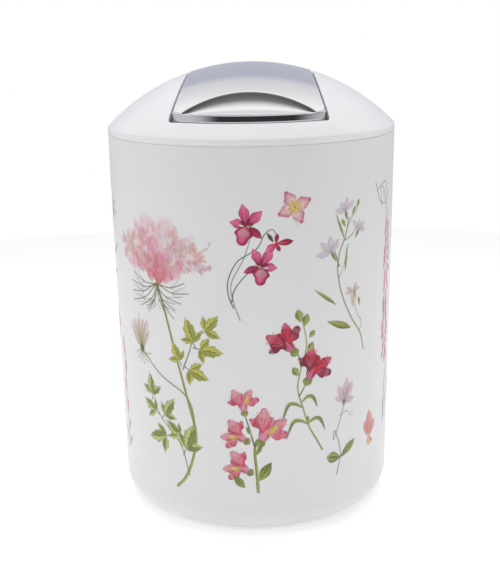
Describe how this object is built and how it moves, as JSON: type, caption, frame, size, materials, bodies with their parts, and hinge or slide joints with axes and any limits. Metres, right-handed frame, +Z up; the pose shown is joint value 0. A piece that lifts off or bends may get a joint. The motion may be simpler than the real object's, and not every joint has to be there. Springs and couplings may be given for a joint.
{
  "type": "swing-lid waste bin",
  "caption": "Round bathroom waste bin: slightly tapered container, lift-off dome lid, and a plated waisted flap that swings both ways on hinge pins.",
  "frame": {"origin": "on the floor at the middle of the base", "axes": "+Z up along the container's axis, +X along the flap's hinge pins to the right, -Y to the front"},
  "size_m": [0.196, 0.196, 0.305],
  "materials": {
    "container": "satin",
    "lid": "satin",
    "flap_plating": "polished",
    "flap_inner": "matte",
    "pin": "satin"
  },
  "bodies": {
    "container": {"container_body": "container"},
    "lid": {"lid_dome": "lid"},
    "flap": {"flap_shell": "flap_plating", "flap_carrier": "flap_inner", "hinge_pin_left": "pin", "hinge_pin_right": "pin"}
  },
  "joints": [
    {"name": "lid_lift", "type": "slide", "parent": "container", "child": "lid", "axis": [0, 0, 1], "range_m": [0, 0.06]},
    {"name": "flap_swing", "type": "hinge", "parent": "lid", "child": "flap", "pos_m": [0, 0, 0.2913], "axis": [1, 0, 0], "range_deg": [-75, 75]}
  ]
}
